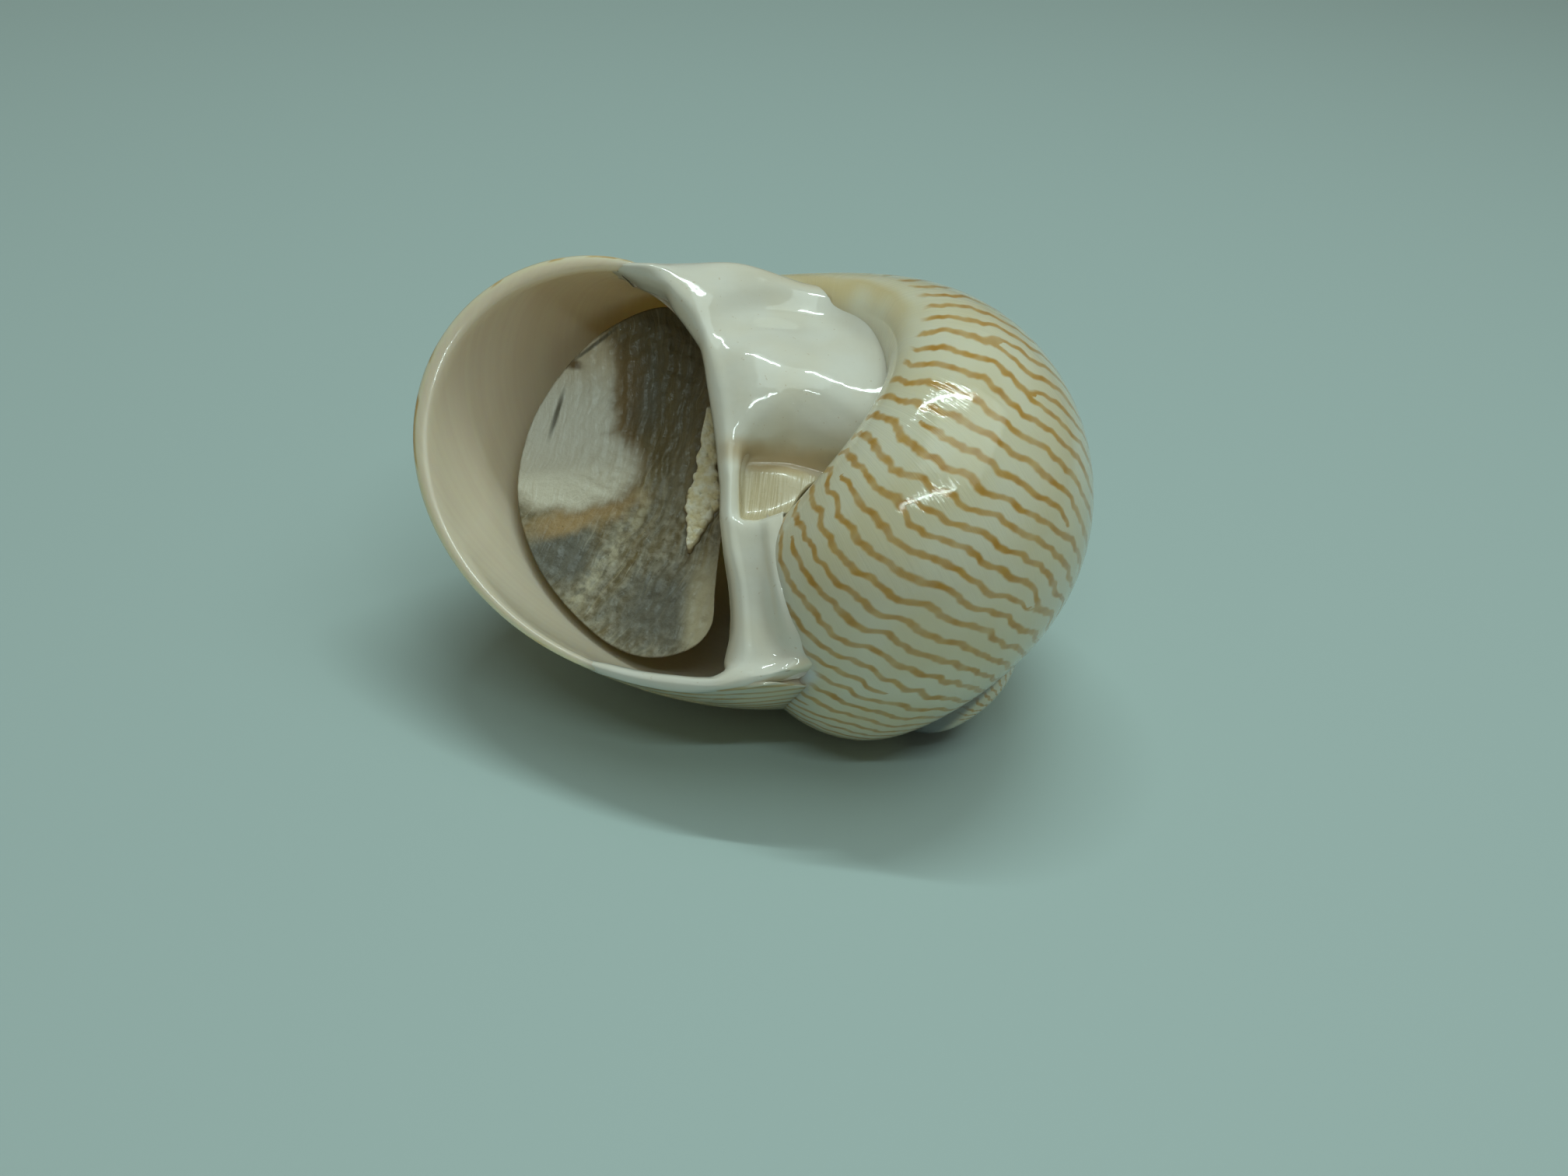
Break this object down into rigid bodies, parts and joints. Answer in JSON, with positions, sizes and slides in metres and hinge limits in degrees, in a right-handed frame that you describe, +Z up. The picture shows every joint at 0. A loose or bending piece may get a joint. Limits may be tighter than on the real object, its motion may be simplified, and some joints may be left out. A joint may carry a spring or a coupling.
{
  "type": "moon snail shell with operculum",
  "caption": "Glossy globular sea snail shell with a wide open mouth and a thin plate closing the mouth, a loose collector's specimen.",
  "frame": {"origin": "under the middle of the bounding box, on the surface that the shell rests on", "axes": "+Z up from the table, +X along the longest side of the resting shell, mouth facing -Y and up"},
  "size_m": [0.032, 0.0244, 0.0194],
  "materials": {
    "shell_porcelain": "glossy porcelain-like shell, cream white with fine wavy ochre-brown lines along the growth direction, blue-grey round the spire",
    "operculum_horn": "half-matt horn plate, grey-brown growth lines sweeping round a smooth cream patch with a rusty edge"
  },
  "bodies": {
    "root": {"shell": "shell_porcelain", "operculum": "operculum_horn"}
  },
  "joints": []
}
